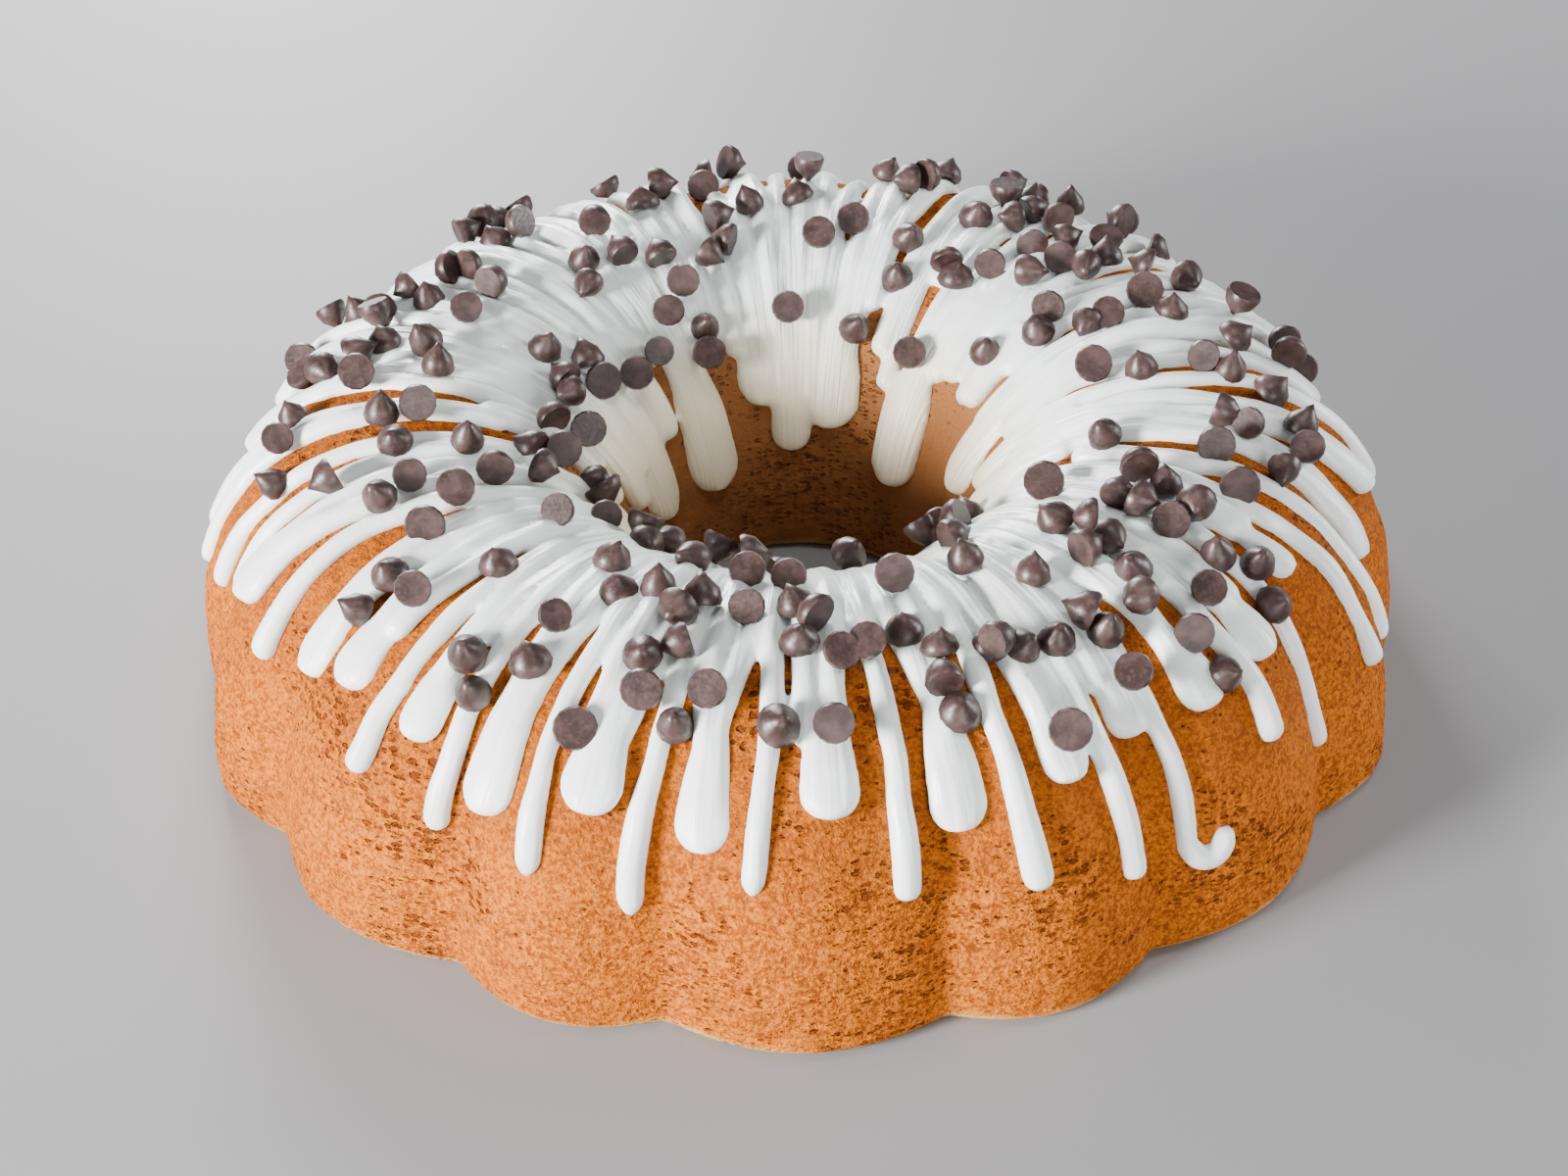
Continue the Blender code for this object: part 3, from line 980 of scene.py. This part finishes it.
def sponge_finish():
    """Baked crust: golden brown in cloudy patches, darker high up with painted shade under the icing,
    darker in the hole with its own brown and painted shade, with pores drawn out sideways.
    """
    finish = Finish("baked_sponge")
    place = finish.place
    axes = finish.add("ShaderNodeSeparateXYZ")
    finish.link(place, axes.inputs[0])
    height = axes.outputs["Z"]
    flat = finish.stretched(place, (1, 1, 2.1))
    clouds = finish.noise(place, scale=44, detail=4, roughness=0.6)
    mottle = finish.noise(finish.stretched(place, (1, 1, 1.4)), scale=480, detail=3, roughness=0.65)
    grain = finish.noise(place, scale=1300, detail=2, roughness=0.6)
    crumb = finish.noise(place, scale=1500, detail=3, roughness=0.7)
    patches = finish.ramp(finish.noise(place, scale=34, detail=2, roughness=0.5), 0.38, 0.64, 0.05, 0.46)
    pores = finish.pores(flat, 520, patches)
    wide = finish.pores(flat, 240, 0.12)
    strokes = finish.pores(finish.stretched(place, (1, 1, 2.8)), 640, patches)
    # Where the hole's darker crust and painted shade lie. The pores there are fainter too.
    hole_crust_and_shade = finish.ramp(finish.axis_radius(), *HOLE_TINT_AND_SHADE_RADII, 1.0, 0.0)
    gold = finish.mix(finish.ramp(clouds, 0.35, 0.65), GOLD_DARK, GOLD)
    gold = finish.mix(finish.ramp(mottle, 0.36, 0.50, 0.75, 0.0), gold, GOLD_DEEP)
    gold = finish.mix(finish.ramp(mottle, 0.50, 0.64, 0.0, 0.6), gold, GOLD_PALE)
    gold = finish.mix(finish.ramp(grain, 0.50, 0.62, 0.0, 0.6), gold, GOLD_PALE)
    gold = finish.mix(finish.ramp(grain, 0.38, 0.48, 0.7, 0.0), gold, GOLD_DEEP)
    # Painted shade: the crust darker high up, under the icing.
    gold = finish.mix(finish.ramp(height, *UPPER_PAINTED_SHADE, 0.0, 0.4), gold, GOLD_DEEP)
    # The hole's crust: its own darker brown, with painted shade in it.
    gold = finish.mix(finish.math("MULTIPLY", hole_crust_and_shade, 0.9), gold, HOLE_BROWN_AND_SHADE)
    ragged = finish.math("SUBTRACT", height, finish.math("MULTIPLY", clouds, BASE_RAGGEDNESS))
    gold = finish.mix(finish.ramp(ragged, *BASE_LINE, 0.6, 0.0), gold, BASE_CRUMB)
    plain = finish.ramp(hole_crust_and_shade, 0.0, 1.0, 1.0, 0.3)
    plain_pores = finish.math("MULTIPLY", pores, finish.math("MULTIPLY", plain, 0.85))
    plain_wide = finish.math("MULTIPLY", wide, finish.math("MULTIPLY", plain, 0.7))
    for pits in (plain_pores, plain_wide, finish.math("MULTIPLY", strokes, 0.65)):
        gold = finish.mix(pits, gold, PORE_BROWN)
    pits = finish.math("MULTIPLY", finish.math("ADD", finish.math("ADD", pores, wide), strokes), 0.9)
    relief = finish.math("SUBTRACT", finish.math("MULTIPLY", crumb, 0.5), pits)
    normal = finish.bump(relief, distance=0.0009, strength=1.0)
    finish.link(gold, finish.shader.inputs["Base Color"])
    finish.link(finish.ramp(mottle, 0.3, 0.7, 0.68, 0.85), finish.shader.inputs["Roughness"])
    finish.shader.inputs["Specular IOR Level"].default_value = 0.06
    normal = finish.bump(mottle, distance=0.0014, strength=0.7, normal=normal)
    finish.link(normal, finish.shader.inputs["Normal"])
    return finish.material


def icing_finish():
    """Sugar icing: off-white and satin, with a painted warm bounce light in the hole, and fine lines drawn
    out along the strands.
    """
    finish = Finish("sugar_icing")
    level = finish.add("ShaderNodeVectorMath", operation="NORMALIZE")
    finish.link(finish.stretched(finish.place, (1, 1, 0)), level.inputs[0])
    fan = finish.add("ShaderNodeVectorMath", operation="MULTIPLY_ADD")
    finish.link(finish.place, fan.inputs[0])
    fan.inputs[1].default_value = (0.9, 0.9, 0.9)
    finish.link(level.outputs["Vector"], fan.inputs[2])
    lines = finish.noise(fan.outputs["Vector"], scale=120, detail=2, roughness=0.5)
    broad = finish.noise(fan.outputs["Vector"], scale=42, detail=1, roughness=0.5)
    cloud = finish.noise(finish.place, scale=70, detail=3, roughness=0.5)
    colour = finish.mix(finish.ramp(cloud, 0.3, 0.7), ICING_SHADE, ICING_WHITE)
    # Painted warm bounce light on the icing in the hole.
    painted_bounce = finish.ramp(finish.axis_radius(), *ICING_PAINTED_BOUNCE_RADII, 0.85, 0.0)
    normal = finish.bump(broad, distance=0.0012, strength=0.45)
    finish.link(finish.mix(painted_bounce, colour, ICING_PAINTED_BOUNCE), finish.shader.inputs["Base Color"])
    finish.link(finish.ramp(lines, 0.3, 0.7, 0.30, 0.46), finish.shader.inputs["Roughness"])
    finish.shader.inputs["Subsurface Weight"].default_value = 0.10
    finish.shader.inputs["Subsurface Radius"].default_value = (1.0, 0.9, 0.75)
    finish.shader.inputs["Subsurface Scale"].default_value = 0.0012
    finish.shader.inputs["Specular IOR Level"].default_value = 0.5
    normal = finish.bump(lines, distance=0.0006, strength=0.22, normal=normal)
    finish.link(normal, finish.shader.inputs["Normal"])
    return finish.material


def chocolate_finish():
    """Baking chocolate: dull mauve brown with a dusty bloom."""
    finish = Finish("baking_chocolate")
    bloom = finish.noise(finish.place, scale=260, detail=3, roughness=0.6)
    dust = finish.noise(finish.place, scale=1400, detail=2, roughness=0.6)
    colour = finish.mix(finish.ramp(bloom, 0.35, 0.7), CHOCOLATE, CHOCOLATE_BLOOM)
    colour = finish.mix(finish.ramp(dust, 0.55, 0.8, 0.0, 0.25), colour, CHOCOLATE_DUST)
    finish.link(colour, finish.shader.inputs["Base Color"])
    finish.link(finish.ramp(dust, 0.3, 0.7, 0.34, 0.48), finish.shader.inputs["Roughness"])
    finish.shader.inputs["Specular IOR Level"].default_value = 0.45
    finish.link(finish.bump(dust, distance=0.0003, strength=0.15), finish.shader.inputs["Normal"])
    return finish.material


# The floor, the lights and the camera.

def make_floor():
    shape = bmesh.new()
    bmesh.ops.create_grid(shape, x_segments=1, y_segments=1, size=FLOOR_SIZE)
    floor = linked("floor", mesh_of(shape, "floor"))
    finish = Finish("pale_floor")
    finish.shader.inputs["Base Color"].default_value = FLOOR_GREY
    finish.shader.inputs["Roughness"].default_value = FLOOR_ROUGHNESS
    floor.data.materials.append(finish.material)


def make_light(name, place, size, power, colour):
    data = bpy.data.lights.new(name, "AREA")
    data.shape = "DISK"
    data.size = size
    data.energy = power
    data.color = colour
    light = linked(name, data)
    light.location = place
    light.rotation_euler = (Vector(LIT_POINT) - Vector(place)).to_track_quat("-Z", "Y").to_euler()


def make_room():
    world = bpy.data.worlds.new("studio")
    bpy.context.scene.world = world
    world.use_nodes = True
    background = world.node_tree.nodes["Background"]
    background.inputs["Color"].default_value = ROOM_COLOUR
    background.inputs["Strength"].default_value = ROOM_LIGHT
    for name, light in LIGHTS.items():
        make_light(name, *light)


def make_camera():
    data = bpy.data.cameras.new("camera")
    data.lens = CAMERA_LENS
    data.sensor_width = CAMERA_SENSOR
    data.shift_x, data.shift_y = CAMERA_SHIFT
    data.clip_start = CAMERA_NEAR
    camera = linked("camera", data)
    turn, back = camera_turn()
    camera.location = back * CAMERA_DISTANCE
    camera.rotation_euler = turn.to_euler()
    bpy.context.scene.camera = camera


make_camera()
make_room()
make_floor()

draw = random.Random(SEED)
sponge_mesh = make_sponge()
icing_mesh = make_icing(icing_strands(draw))
chip_mesh = make_chips(icing_mesh, sponge_mesh, draw)
add_piece("sponge", sponge_mesh, sponge_finish())
add_piece("icing", icing_mesh, icing_finish())
add_piece("chocolate_chips", chip_mesh, chocolate_finish())
chip_mesh.set_sharp_from_angle(angle=CHIP_SHARP)
